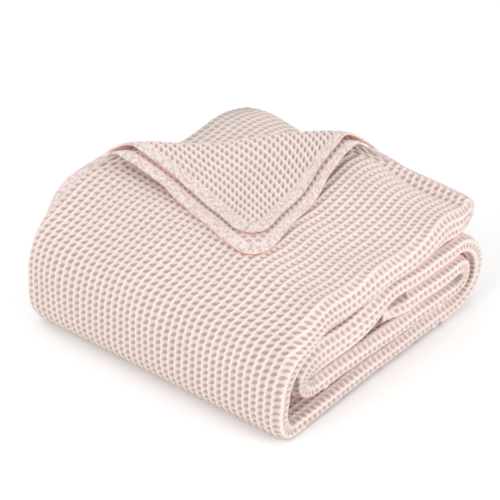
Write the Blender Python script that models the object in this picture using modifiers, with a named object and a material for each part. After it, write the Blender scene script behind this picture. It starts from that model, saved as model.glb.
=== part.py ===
# Folded waffle-weave throw blanket, one piece of cotton cloth.
#
# The cloth is first folded in quarter across its width, so that it makes a band
# four plies thick, and the band is then wound from the outside in:
#   top leg -> front wrap -> bottom leg -> back turn -> second leg ->
#   front inner turn -> fourth leg -> small back turn -> third leg.
# The two uppermost plies of the top leg are peeled back in one corner.
#
# Axes: +X along the front fold, towards the rounded side folds; +Y to the back;
# +Z up. Origin: the middle of the footprint, on the resting surface. Metres.

import math

import bmesh
import bpy
import numpy as np

MM = 0.001

NAME = "throw_blanket"
CLOTH_THICKNESS = 2.6 * MM
LEFT_EDGE = -157.0 * MM          # where the long hems lie

# Winding of the band, from the free end on top to the free end inside.
# y, z: middle of the band; heading: 180 runs to the front, 270 down, 0 back, 90 up;
# ply_right, ply_left: spacing of the plies at the rounded side and at the hem side;
# edge: outermost x of the side fold; fold: outermost x of the fold on the hem side;
# sag: how far the outer ply comes down towards the side fold; cuts: divisions up to
# the next row.
STATIONS = (
    # name              y       z   heading ply_right ply_left  edge     fold    sag  cuts
    ("top end",        139.0,  101.0,  134.0,    11.6,     7.0,   151.5,  -122.0,   6.0,  5),
    ("top rear",       108.0,  112.0,  170.0,    12.4,     7.8,   156.0,  -126.0,  12.0,  5),
    ("top middle",      10.0,  112.4,  180.0,    13.0,     9.4,   159.0,  -142.0,  18.0,  4),
    ("top front",      -62.0,  110.9,  182.0,    14.4,     9.8,   159.0,  -152.0,  16.0,  3),
    ("wrap shoulder", -102.5,  103.7,  202.0,    12.4,     9.9,   160.0,  -154.0,   7.0,  5),
    ("wrap front",    -150.1,   52.0,  269.0,     3.5,     4.4,   161.0,  -154.0,   0.0,  2),
    ("wrap lower",    -150.1,   28.0,  276.0,     3.5,     4.4,   160.0,  -154.0,   0.0,  4),
    ("wrap foot",     -131.0,    8.2,  360.0,     4.6,     5.2,   157.0,  -154.0,   0.0,  1),
    ("bottom middle",    0.0,  10.75,  360.0,     6.3,     6.3,   154.0,  -154.0,   0.0,  1),
    ("bottom rear",    106.0,  10.75,  360.0,     6.3,     6.3,   152.0,  -154.0,   0.0,  4),
    ("back turn",      148.8,   45.5,  450.0,     3.6,     4.4,   158.0,  -154.0,   0.0,  6),
    ("second rear",    113.0,   80.4,  540.0,     4.9,     5.4,   157.0,  -154.0,   0.0,  2),
    ("second middle",   20.0,   81.2,  540.0,     5.2,     5.7,   158.0,  -154.0,   0.0,  1),
    ("second fall",    -47.0,   67.4,  551.0,    10.7,     9.7,   158.0,  -154.0,   0.0,  1),
    ("second front",   -99.0,   65.4,  546.0,    10.3,     9.3,   157.0,  -154.0,   0.0,  5),
    ("inner turn",    -120.5,   50.0,  630.0,     5.8,     5.6,   156.0,  -154.0,   0.0,  5),
    ("fourth front",  -102.0,   35.4,  720.0,     6.2,     6.1,   156.0,  -154.0,   0.0,  1),
    ("fourth middle",   20.0,   34.6,  720.0,     6.5,     6.4,   156.0,  -154.0,   0.0,  1),
    ("fourth rear",    113.0,   34.2,  720.0,     5.2,     5.2,   155.0,  -154.0,   0.0,  4),
    ("small turn",     129.0,   46.6,  810.0,     4.8,     4.7,   156.0,  -154.0,   0.0,  4),
    ("third rear",     114.0,   58.7,  900.0,     5.2,     5.1,   158.0,  -154.0,   0.0,  2),
    ("third middle",    30.0,   58.3,  900.0,     6.2,     6.1,   158.0,  -154.0,   0.0,  1),
    ("third end",        0.0,   56.8,  902.0,     3.8,     3.8,   152.0,  -154.0,   0.0,  0),
)

# Cross-section of the band: the order in which the cloth passes through it.
# ply: 3 is the outermost, 0 the innermost; run: +1 towards the side fold;
# turn: how many ply spacings the next fold is high; cuts, fold_cuts: divisions.
PLIES = (
    # ply  run  turn  cuts  fold_cuts
    (3,   +1,    3,    7,      6),
    (0,   -1,    1,    3,      3),
    (1,   +1,    1,    3,      3),
    (2,   -1,    0,    6,      0),
)
LOBE_DEPTH = 0.58                # outer side fold: depth against half its height
LOBE_FULLNESS = 0.60             # 1 is an ellipse, less is fuller
NEST_GAP = 3.3 * MM               # room between the side fold and the fold inside it
FLAT_PLY = 6.0 * MM              # ply spacing that sets the flat width of the folds
PLY_WIDTH = 305.0 * MM           # straight run of one ply
SAG_FROM = 10.0 * MM             # the sag begins here and is whole at the side fold

# Peeled corner: its section across the diagonal fold.
CORNER_LEG = 246.0 * MM          # from the corner to the fold, along each hem
ROLL_RADIUS = 8.0 * MM           # inner ply of the roll
ROLL_PLY = 6.5 * MM              # distance between the two plies in the roll
FLAP_SLOPE = 80.0 * MM           # run over which it comes down from the roll
FLAP_REST = 4.8 * MM             # height of the tip above the cloth below
FLAP_PLY = 4.6 * MM              # distance between the two plies at the tip
FLAP_STRETCH = 1.15              # the corner is drawn out towards its tip ...
ROLL_NARROW = 0.86               # ... and narrows across, in the roll
ROLL_NARROW_REAR = 0.74          # the same at the rear end of the roll
FLAP_NARROW = 0.90               # and again on the slope
FLAP_SWAY = -10.0 * MM           # sideways lean of the tip, towards the hem side
INNER_CREASES = (0.0, 6.0, 12.0, 18.0, 24.0, 34.0, 50.0, 76.0, 105.0)    # mm past the fold
OUTER_CREASES = (0.0, 11.0, 22.0, 33.0, 45.0, 57.0, 72.0, 92.0, 114.0)

# Soft rises of the folded stack: none below the height "low", all of it above "high".
SWELLS = (
    # name               x      y   height  spread_x  spread_y   low   high
    ("back rise",      -99.0, 138.0,  28.0,    72.0,     64.0,  15.0, 125.0),
    ("rear ridge",      40.0, 120.0,   3.0,    60.0,     40.0,  80.0, 125.0),
    ("back shoulder", -150.0,  84.0,   8.0,    34.0,     26.0,  80.0, 125.0),
    ("hem side rise", -145.0, -25.0,  10.0,    36.0,     40.0,  80.0, 125.0),
    ("rear lip",        80.0, 140.0,   6.0,    42.0,      8.0,  95.0, 120.0),
    ("rear valley",    104.0, 118.0,  -7.0,    44.0,      9.0, 100.0, 125.0),
)
SOLE = 0.05 * MM                 # what is as low as this rests on the surface
FOOTPRINT_MIDDLE = (2.0 * MM, 0.2 * MM)     # moved to the origin


def smooth(t):
    t = np.clip(t, 0.0, 1.0)
    return t * t * (3.0 - 2.0 * t)


# ---------------------------------------------------------------- the winding

def winding(samples=40):
    """Positions, outward directions and settings along the band."""
    y, z, ang, pr, pl, edge, fold, sag, rows = [], [], [], [], [], [], [], [], []
    for k in range(len(STATIONS) - 1):
        a, b = STATIONS[k], STATIONS[k + 1]
        p0, p3 = np.array(a[1:3]) * MM, np.array(b[1:3]) * MM
        h0, h3 = math.radians(a[3]), math.radians(b[3])
        turn = max(abs(h3 - h0), 0.02)
        reach = np.linalg.norm(p3 - p0) * 2.0 / 3.0 * math.tan(turn / 4.0) / math.sin(turn / 2.0)
        p1 = p0 + reach * np.array((math.cos(h0), math.sin(h0)))
        p2 = p3 - reach * np.array((math.cos(h3), math.sin(h3)))
        t = np.linspace(0.0, 1.0, samples, endpoint=(k == len(STATIONS) - 2))
        s = 1.0 - t
        pos = (np.outer(s**3, p0) + np.outer(3 * s * s * t, p1)
               + np.outer(3 * s * t * t, p2) + np.outer(t**3, p3))
        der = (np.outer(s * s, p1 - p0) + np.outer(2 * s * t, p2 - p1) + np.outer(t * t, p3 - p2))
        y.append(pos[:, 0])
        z.append(pos[:, 1])
        ang.append(np.arctan2(der[:, 1], der[:, 0]))
        f = smooth(t)
        pr.append((a[4] + (b[4] - a[4]) * f) * MM)
        pl.append((a[5] + (b[5] - a[5]) * f) * MM)
        edge.append((a[6] + (b[6] - a[6]) * f) * MM)
        fold.append((a[7] + (b[7] - a[7]) * f) * MM)
        sag.append((a[8] + (b[8] - a[8]) * f) * MM)
        rows.append(len(t))
    y, z, ang = np.concatenate(y), np.concatenate(z), np.unwrap(np.concatenate(ang))
    pr, pl, edge, fold, sag = (np.concatenate(q) for q in (pr, pl, edge, fold, sag))
    out_y, out_z = np.sin(ang), -np.cos(ang)
    oy, oz = y + out_y * 1.5 * pr, z + out_z * 1.5 * pr
    length = np.concatenate(((0.0,), np.cumsum(np.hypot(np.diff(oy), np.diff(oz)))))
    starts = np.concatenate(((0,), np.cumsum(rows)))
    starts[-1] -= 1
    return {"u": length, "y": y, "z": z, "out_y": out_y, "out_z": out_z,
            "ply_right": pr, "ply_left": pl, "edge": edge, "fold": fold, "sag": sag,
            "starts": length[starts]}


BAND = winding()


def along(key, u):
    return np.interp(u, BAND["u"], BAND[key])


# ---------------------------------------------------------- the cross-section

def section_marks():
    """Flat distance at which every straight run and every fold begins."""
    marks, v = [], 0.0
    for ply, run, turn, cuts, fold_cuts in PLIES:
        width = PLY_WIDTH
        marks.append((v, v + width))
        v += width + math.pi * 0.5 * turn * FLAT_PLY
    return marks, v


MARKS, FLAT_WIDTH = section_marks()


def lobe(samples=400):
    """Outline of the outer side fold: out and level against length, all 0 to 1."""
    phi = np.linspace(0.0, math.pi, samples)
    out, level = np.sin(phi) ** LOBE_FULLNESS, np.cos(phi)
    length = np.concatenate(((0.0,), np.cumsum(np.hypot(np.diff(out) * LOBE_DEPTH, np.diff(level)))))
    return length / length[-1], out, level


LOBE = lobe()


def band_point(u, v):
    """World position of the flat point (v, u), before the corner is peeled."""
    u, v = np.asarray(u, float), np.asarray(v, float)
    edge = along("edge", u)
    pr, pl = along("ply_right", u), along("ply_left", u)
    x, level = np.zeros_like(u), np.zeros_like(u)
    sag = along("sag", u)
    right = edge - CLOTH_THICKNESS / 2 - 1.5 * LOBE_DEPTH * (pr - sag / 3)
    nested = right - np.maximum(NEST_GAP - 1.5 * LOBE_DEPTH * (pr - sag / 3) + 0.5 * pr, 0.0)
    left_fold = along("fold", u) + CLOTH_THICKNESS / 2 + 0.5 * pl
    for k, (ply, run, turn, cuts, fold_cuts) in enumerate(PLIES):
        v0, v1 = MARKS[k]
        end = MARKS[k + 1][0] if k + 1 < len(PLIES) else v1
        if k == 0:
            xa, xb = LEFT_EDGE + 0 * right, right
        elif k == len(PLIES) - 1:
            xa, xb = nested, LEFT_EDGE + 0 * right
        elif run < 0:
            xa, xb = right, left_fold
        else:
            xa, xb = left_fold, nested
        m = (v >= v0 if k else True) & (v <= v1 if turn else True) & np.ones_like(v, bool)
        f = (v - v0) / (v1 - v0)
        x = np.where(m, xa + (xb - xa) * f, x)
        level = np.where(m, ply - 1.5, level)
        if turn:
            m = (v > v1) & (v < end)
            f = np.clip((v - v1) / (end - v1), 0.0, 1.0)
            nxt = PLIES[k + 1][0]
            mid, half = (ply + nxt) / 2 - 1.5, (ply - nxt) / 2
            if turn > 1:
                out, drop = np.interp(f, LOBE[0], LOBE[1]), np.interp(f, LOBE[0], LOBE[2])
                reach = LOBE_DEPTH * 0.5 * turn * (pr - sag / 3)
            else:
                out, drop = np.sin(f * math.pi), np.cos(f * math.pi)
                reach = 0.5 * turn * (pr if run > 0 else pl)
            x = np.where(m, xb + run * reach * out, x)
            level = np.where(m, mid + half * drop, level)
    across = smooth((x - LEFT_EDGE) / (right - LEFT_EDGE))
    sag = sag * smooth((x - SAG_FROM) / (right - SAG_FROM))
    spacing = pl + (pr - pl) * across - sag / 3
    offset = 1.5 * pr - (1.5 - level) * spacing - sag
    beyond = np.minimum(u, 0.0)
    out_y, out_z = along("out_y", u), along("out_z", u)
    return np.stack((x, along("y", u) + out_y * offset - out_z * beyond,
                     along("z", u) + out_z * offset + out_y * beyond), axis=-1)


def settle(points):
    """The stack swells and sags a little, and stays flat where it rests."""
    x, y, z = points[..., 0], points[..., 1], points[..., 2]
    lift = np.zeros_like(x)
    for name, cx, cy, height, wide, deep, low, high in SWELLS:
        lift = lift + (height * MM * smooth((z / MM - low) / (high - low))
                       * np.exp(-((x / MM - cx) / wide) ** 2 / 2 - ((y / MM - cy) / deep) ** 2 / 2))
    out = points.copy()
    out[..., 0] = x - FOOTPRINT_MIDDLE[0]
    out[..., 1] = y - FOOTPRINT_MIDDLE[1]
    out[..., 2] = z + lift
    return out


# ----------------------------------------------------------- the peeled corner

def flap_curve(samples=900):
    """Section of the flap across its diagonal fold.

    inner, outer: length of the inner and of the outer ply from the fold;
    ahead, up: position of the inner ply; turn: how far it has turned over;
    eased: 0 in the roll, 1 where the flap lies flat again."""
    d = np.linspace(0.0, 0.20, samples)
    step = d[1] - d[0]
    roll = ROLL_RADIUS * math.pi
    eased = smooth((d - roll) / FLAP_SLOPE)
    drop = (2.0 * ROLL_RADIUS - FLAP_REST) * np.gradient(eased, step)
    turn = np.where(d < roll, d / ROLL_RADIUS, math.pi + np.arcsin(drop))
    mid = 0.5 * (turn[1:] + turn[:-1])
    zero = (0.0,)
    ahead = np.concatenate((zero, np.cumsum(-np.cos(mid) * step)))
    up = np.concatenate((zero, np.cumsum(np.sin(mid) * step)))
    outer = np.concatenate((zero, np.cumsum(step + ROLL_PLY * np.diff(turn))))
    return {"inner": d, "outer": outer, "ahead": ahead, "up": up, "turn": turn, "eased": eased}


FLAP = flap_curve()


def place(u, v):
    """World position of the flat points (v, u), with the corner peeled back."""
    u, v = np.asarray(u, float), np.asarray(v, float)
    plain = band_point(u, v)
    lower = v > FLAT_WIDTH / 2
    a = np.where(lower, FLAT_WIDTH - v, v)          # distance from the long hem
    d = (CORNER_LEG - a - u) / math.sqrt(2.0)       # distance past the diagonal fold
    peeled = d > 1e-7
    d = np.where(peeled, d, 0.0)
    inner = np.where(lower, np.interp(d, FLAP["outer"], FLAP["inner"]), d)
    ahead, up, turn, eased = (np.interp(inner, FLAP["inner"], FLAP[k])
                              for k in ("ahead", "up", "turn", "eased"))
    ahead = np.where(ahead > 0.0, ahead * FLAP_STRETCH, ahead)
    narrow = ROLL_NARROW + (ROLL_NARROW_REAR - ROLL_NARROW) * smooth((a - u) / CORNER_LEG)
    side = (a - u) / 2.0 * (1.0 - (1.0 - narrow) * smooth(turn / math.pi))
    side = side * (1.0 - (1.0 - FLAP_NARROW) * smooth(ahead / (50.0 * MM)))
    side = side + FLAP_SWAY / math.sqrt(2.0) * np.clip(ahead / CORNER_LEG * 2.0, 0.0, 1.0) ** 1.5
    foot_a, foot_u = CORNER_LEG / 2.0 + side, CORNER_LEG / 2.0 - side
    on_top = band_point(foot_u + ahead / math.sqrt(2.0), foot_a + ahead / math.sqrt(2.0))
    under = band_point(foot_u, FLAT_WIDTH - foot_a) - band_point(foot_u, foot_a)
    gap = np.maximum(np.linalg.norm(under, axis=-1), 1e-6)
    upright = -under / gap[..., None]
    gap = gap + (ROLL_PLY - gap) * smooth(turn / math.pi)
    gap = gap + (FLAP_PLY - ROLL_PLY) * eased
    gap = np.where(lower, gap, 0.0)
    point = on_top.copy()
    point[..., 0] -= gap * np.sin(turn) / math.sqrt(2.0)
    point[..., 1] += gap * np.sin(turn) / math.sqrt(2.0)
    point[..., 2] += up
    point -= upright * (gap * np.cos(turn))[..., None]
    return settle(np.where(peeled[..., None], point, plain))


# --------------------------------------------------------------------- solids

def spaced(marks):
    """Flat positions of the grid lines from (start, end, divisions) rows."""
    out = [marks[0][0]]
    for start, end, cuts in marks:
        out += [start + (end - start) * (k + 1) / cuts for k in range(cuts)]
    return np.array(out)


def flat_lines():
    along_u = [(BAND["starts"][k], BAND["starts"][k + 1], STATIONS[k][9])
               for k in range(len(STATIONS) - 1)]
    across_v = []
    for k, (ply, run, turn, cuts, fold_cuts) in enumerate(PLIES):
        v0, v1 = MARKS[k]
        across_v.append((v0, v1, cuts))
        if fold_cuts:
            across_v.append((v1, MARKS[k + 1][0], fold_cuts))
    return spaced(along_u), spaced(across_v)


def material(name, colour, roughness):
    mat = bpy.data.materials.new(name)
    mat.use_nodes = True
    shader = mat.node_tree.nodes["Principled BSDF"]
    shader.inputs["Base Color"].default_value = (*colour, 1.0)
    shader.inputs["Roughness"].default_value = roughness
    return mat


def crease(bm, distance, side):
    """Cut the flat cloth along a line parallel to the diagonal fold."""
    reach = CORNER_LEG - distance * math.sqrt(2.0)
    if side > 0:
        point, normal = (reach, 0.0, 0.0), (1.0, 1.0, 0.0)
        near = [f for f in bm.faces if f.calc_center_median().x < CORNER_LEG + 0.05
                and f.calc_center_median().y < CORNER_LEG + 0.05]
    else:
        point, normal = (FLAT_WIDTH - reach, 0.0, 0.0), (-1.0, 1.0, 0.0)
        near = [f for f in bm.faces if f.calc_center_median().x > FLAT_WIDTH - CORNER_LEG - 0.05
                and f.calc_center_median().y < CORNER_LEG + 0.05]
    geom = set(near)
    for f in near:
        geom.update(f.edges)
        geom.update(f.verts)
    bmesh.ops.bisect_plane(bm, geom=list(geom), dist=1e-5, plane_co=point, plane_no=normal)


def build_blanket(collection):
    us, vs = flat_lines()
    bm = bmesh.new()
    bmesh.ops.create_grid(bm, x_segments=len(vs) - 1, y_segments=len(us) - 1, size=0.5)
    for vert in bm.verts:
        i = int(round((vert.co.x + 0.5) * (len(vs) - 1)))
        j = int(round((vert.co.y + 0.5) * (len(us) - 1)))
        vert.co = (vs[i], us[j], 0.0)
    for distance in INNER_CREASES:
        crease(bm, distance * MM, +1)
    for distance in OUTER_CREASES:
        crease(bm, distance * MM, -1)
    flat = np.array([vert.co[:] for vert in bm.verts])
    for vert, spot in zip(bm.verts, place(flat[:, 1], flat[:, 0])):
        vert.co = spot
    bmesh.ops.recalc_face_normals(bm, faces=bm.faces)
    mesh = bpy.data.meshes.new("blanket")
    bm.to_mesh(mesh)
    bm.free()
    for polygon in mesh.polygons:
        polygon.use_smooth = True
    blanket = bpy.data.objects.new("blanket", mesh)
    collection.objects.link(blanket)
    blanket.data.materials.append(material("blush_cotton", (0.86, 0.70, 0.63), 0.9))
    shell = blanket.modifiers.new("cloth thickness", "SOLIDIFY")
    shell.thickness = CLOTH_THICKNESS
    shell.offset = 0.0
    shell.use_even_offset = False
    bpy.context.view_layer.update()
    done = blanket.evaluated_get(bpy.context.evaluated_depsgraph_get())
    blanket.data = bpy.data.meshes.new_from_object(done)
    blanket.modifiers.remove(shell)
    for vert in blanket.data.vertices:
        if vert.co.z < SOLE:
            vert.co.z = 0.0
    return blanket


def main():
    for obj in list(bpy.data.objects):
        bpy.data.objects.remove(obj)
    collection = bpy.data.collections.new(NAME)
    bpy.context.scene.collection.children.link(collection)
    build_blanket(collection)
    print("flat size (m): %.3f wide, %.3f long" % (FLAT_WIDTH, BAND["u"][-1]))


main()
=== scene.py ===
# %% [markdown]
# # A folded waffle-weave throw blanket
#
# The real thing is one piece of cotton cloth, 1.27 by 1.49 m, with a hem turned twice
# all round. It was folded in quarter across its width, then wound up lengthwise, and
# one corner of the two top plies was peeled back so that its hems show.
#
# A blanket like this could be simulated with cloth dynamics, sculpted, or built by
# rule. It is built by rule here: every point of the flat cloth has a place in the
# folded stack, so the weave, the hem and the stitches all stay attached to the cloth
# they belong to, and every ply is really there.

import math

import bmesh
import bpy
import numpy as np
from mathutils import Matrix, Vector
from mathutils.bvhtree import BVHTree


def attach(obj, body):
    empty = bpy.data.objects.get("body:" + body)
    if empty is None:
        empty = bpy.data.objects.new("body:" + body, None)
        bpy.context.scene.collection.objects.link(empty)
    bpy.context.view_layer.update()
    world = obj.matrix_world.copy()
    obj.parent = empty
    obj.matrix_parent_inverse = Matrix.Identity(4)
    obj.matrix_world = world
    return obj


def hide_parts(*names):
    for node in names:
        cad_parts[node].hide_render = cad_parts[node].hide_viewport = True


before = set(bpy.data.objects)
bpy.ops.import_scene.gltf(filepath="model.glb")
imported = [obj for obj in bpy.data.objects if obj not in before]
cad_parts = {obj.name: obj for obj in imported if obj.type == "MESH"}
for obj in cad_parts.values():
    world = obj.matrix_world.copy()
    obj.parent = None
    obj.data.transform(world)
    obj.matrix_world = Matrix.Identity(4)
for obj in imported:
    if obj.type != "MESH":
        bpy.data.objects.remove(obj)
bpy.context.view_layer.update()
MM = 0.001

# %% [markdown]
# ## The winding
#
# Seen from the side, the quarter-folded band is wound like a flat spiral: top leg,
# round the front, bottom leg, round the back, and three shorter legs inside. A table
# with one row for each leg and turn keeps that readable. Between two rows the band
# follows a Bezier curve whose handles are as long as those of a circular arc of the
# same turn, so that turns come out round and legs come out straight.

# %% Stations of the band
# y, z: middle of the band in mm; heading in degrees, counted on along the winding: 180,
# 540 and 900 run to the front, 270 and 630 down, 360 and 720 to the back, 450 and 810 up;
# ply_right, ply_left: spacing of the plies at the rounded side and at the hem side;
# edge, fold: outermost x of the side fold and of the fold on the hem side;
# sag: how far the outer ply comes down towards the side fold.
STATIONS = (
    # name               y       z   heading  ply_right  ply_left   edge     fold     sag
    ("top end",        139.0,  101.0,  134.0,     11.6,      7.0,   151.5,  -122.0,    6.0),
    ("top rear",       108.0,  112.0,  170.0,     12.4,      7.8,   156.0,  -126.0,   12.0),
    ("top middle",      10.0,  112.4,  180.0,     13.0,      9.4,   159.0,  -142.0,   18.0),
    ("top front",      -62.0,  110.9,  182.0,     14.4,      9.8,   159.0,  -152.0,   16.0),
    ("wrap shoulder", -102.5,  103.7,  202.0,     12.4,      9.9,   160.0,  -154.0,    7.0),
    ("wrap front",    -150.1,   52.0,  269.0,      3.5,      4.4,   161.0,  -154.0,    0.0),
    ("wrap lower",    -150.1,   28.0,  276.0,      3.5,      4.4,   160.0,  -154.0,    0.0),
    ("wrap foot",     -131.0,    8.2,  360.0,      4.6,      5.2,   157.0,  -154.0,    0.0),
    ("bottom middle",    0.0,  10.75,  360.0,      6.3,      6.3,   154.0,  -154.0,    0.0),
    ("bottom rear",    106.0,  10.75,  360.0,      6.3,      6.3,   152.0,  -154.0,    0.0),
    ("back turn",      148.8,   45.5,  450.0,      3.6,      4.4,   158.0,  -154.0,    0.0),
    ("second rear",    113.0,   80.4,  540.0,      4.9,      5.4,   157.0,  -154.0,    0.0),
    ("second middle",   20.0,   81.2,  540.0,      5.2,      5.7,   158.0,  -154.0,    0.0),
    ("second fall",    -47.0,   67.4,  551.0,     10.7,      9.7,   158.0,  -154.0,    0.0),
    ("second front",   -99.0,   65.4,  546.0,     10.3,      9.3,   157.0,  -154.0,    0.0),
    ("inner turn",    -120.5,   50.0,  630.0,      5.8,      5.6,   156.0,  -154.0,    0.0),
    ("fourth front",  -102.0,   35.4,  720.0,      6.2,      6.1,   156.0,  -154.0,    0.0),
    ("fourth middle",   20.0,   34.6,  720.0,      6.5,      6.4,   156.0,  -154.0,    0.0),
    ("fourth rear",    113.0,   34.2,  720.0,      5.2,      5.2,   155.0,  -154.0,    0.0),
    ("small turn",     129.0,   46.6,  810.0,      4.8,      4.7,   156.0,  -154.0,    0.0),
    ("third rear",     114.0,   58.7,  900.0,      5.2,      5.1,   158.0,  -154.0,    0.0),
    ("third middle",    30.0,   58.3,  900.0,      6.2,      6.1,   158.0,  -154.0,    0.0),
    ("third end",        0.0,   56.8,  902.0,      3.8,      3.8,   152.0,  -154.0,    0.0),
)
CLOTH_THICKNESS = 2.6 * MM
OUTER_LEVEL = 1.5                # ply spacings from the middle of the band to its outer ply
STRAIGHT = 0.02                  # least turn of a leg, in radians, for the arc formula


def smooth(t):
    """0 below 0, 1 above 1, smooth between."""
    t = np.clip(t, 0.0, 1.0)
    return t * t * (3.0 - 2.0 * t)


def winding(samples=60):
    """The band's columns at many places; u is the length along its outer ply."""
    names = ("y", "z", "heading", "ply_right", "ply_left", "edge", "fold", "sag")
    parts = {n: [] for n in names}
    for k in range(len(STATIONS) - 1):
        a, b = STATIONS[k], STATIONS[k + 1]
        p0, p3 = np.array(a[1:3]) * MM, np.array(b[1:3]) * MM
        h0, h3 = math.radians(a[3]), math.radians(b[3])
        turn = max(abs(h3 - h0), STRAIGHT)
        reach = np.linalg.norm(p3 - p0) * 2.0 / 3.0 * math.tan(turn / 4.0) / math.sin(turn / 2.0)
        p1 = p0 + reach * np.array((math.cos(h0), math.sin(h0)))
        p2 = p3 - reach * np.array((math.cos(h3), math.sin(h3)))
        t = np.linspace(0.0, 1.0, samples, endpoint=(k == len(STATIONS) - 2))
        s = 1.0 - t
        pos = (np.outer(s**3, p0) + np.outer(3 * s * s * t, p1)
               + np.outer(3 * s * t * t, p2) + np.outer(t**3, p3))
        der = (np.outer(s * s, p1 - p0) + np.outer(2 * s * t, p2 - p1) + np.outer(t * t, p3 - p2))
        parts["y"].append(pos[:, 0])
        parts["z"].append(pos[:, 1])
        parts["heading"].append(np.arctan2(der[:, 1], der[:, 0]))
        for column, n in enumerate(names[3:], start=4):
            parts[n].append((a[column] + (b[column] - a[column]) * smooth(t)) * MM)
    starts = np.concatenate(((0,), np.cumsum([len(q) for q in parts["y"]])))
    starts[-1] -= 1
    band = {n: np.concatenate(q) for n, q in parts.items()}
    angle = np.unwrap(band["heading"])
    band["out_y"], band["out_z"] = np.sin(angle), -np.cos(angle)
    oy = band["y"] + band["out_y"] * OUTER_LEVEL * band["ply_right"]
    oz = band["z"] + band["out_z"] * OUTER_LEVEL * band["ply_right"]
    band["u"] = np.concatenate(((0.0,), np.cumsum(np.hypot(np.diff(oy), np.diff(oz)))))
    band["starts"] = {row[0]: band["u"][i] for row, i in zip(STATIONS, starts)}
    return band


BAND = winding()
FLAT_LENGTH = float(BAND["u"][-1])
print("cloth length along the outer ply: %.3f m in %d legs and turns"
      % (FLAT_LENGTH, len(STATIONS) - 1))


def along(key, u):
    """A column of the band at the length u."""
    return np.interp(u, BAND["u"], BAND[key])


# %% [markdown]
# ## The quarter fold
#
# Across the band the cloth runs hem - top ply - round side fold - bottom ply - fold
# on the hem side - third ply - small inner fold - second ply - hem. The big side
# fold is fuller than a circle, because the plies inside it push it out. On top, the
# outer ply also comes down a little on its way to the side fold: that is the sag.

# %% Cross-section of the band
# ply: 3 is outermost, 0 innermost; run: +1 towards the side fold, -1 away from it;
# turn: height of the next fold in ply spacings.
PLIES = (
    # ply  run  turn
    (3,   +1,    3),
    (0,   -1,    1),
    (1,   +1,    1),
    (2,   -1,    0),
)
PLY_WIDTH = 305.0 * MM           # cloth in the straight run of each ply
FLAT_PLY = 6.0 * MM              # usual ply spacing, for the cloth in the folds
LEFT_EDGE = -157.0 * MM          # where the hems lie on the hem side
LOBE_DEPTH = 0.58                # reach of the side fold, as a share of a half circle's
LOBE_FULLNESS = 0.60             # power of its outline: 1 is round, less is fuller
NEST_GAP = 3.6 * MM              # room between the side fold and the fold inside it
DROOP_RADIUS = 13.0 * MM         # the outer ply bends over the hem side of the stack ...
DROOP_HANG = 7.0 * MM            # ... and its hem hangs down there
DROOP_FROM, DROOP_TO = 0.25, 0.32       # metres along the cloth: it sets in round the front
TUCK = 9.0 * MM                  # how far the hem of ply 2 stays back behind it
SAG_FROM = 10.0 * MM             # the sag begins here and is whole at the side fold


def section_marks():
    """Where each ply starts and ends on the flat cloth, and the cloth's width."""
    marks, v = [], 0.0
    for ply, run, turn in PLIES:
        marks.append((v, v + PLY_WIDTH))
        v += PLY_WIDTH + math.pi * 0.5 * turn * FLAT_PLY
    return marks, v


MARKS, FLAT_WIDTH = section_marks()


def lobe(samples=400):
    """Outline of the side fold: how far out and how high, by the share of its length."""
    phi = np.linspace(0.0, math.pi, samples)
    out, level = np.sin(phi) ** LOBE_FULLNESS, np.cos(phi)
    length = np.concatenate(((0.0,), np.cumsum(np.hypot(np.diff(out) * LOBE_DEPTH, np.diff(level)))))
    return length / length[-1], out, level


LOBE = lobe()


def droop(a, run):
    """Sideways place and drop of a point of the outer ply, a metres from its hem."""
    curve = DROOP_RADIUS * math.pi / 2
    bend = np.clip((a - DROOP_HANG) / DROOP_RADIUS, 0.0, math.pi / 2)
    hang = np.maximum(DROOP_HANG - a, 0.0)
    rest = (a - DROOP_HANG - curve) * (run - DROOP_RADIUS) / (run - DROOP_HANG - curve)
    side = DROOP_RADIUS * (1.0 - np.cos(bend)) + np.maximum(rest, 0.0)
    return side, DROOP_RADIUS * (1.0 - np.sin(bend)) + hang


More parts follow.
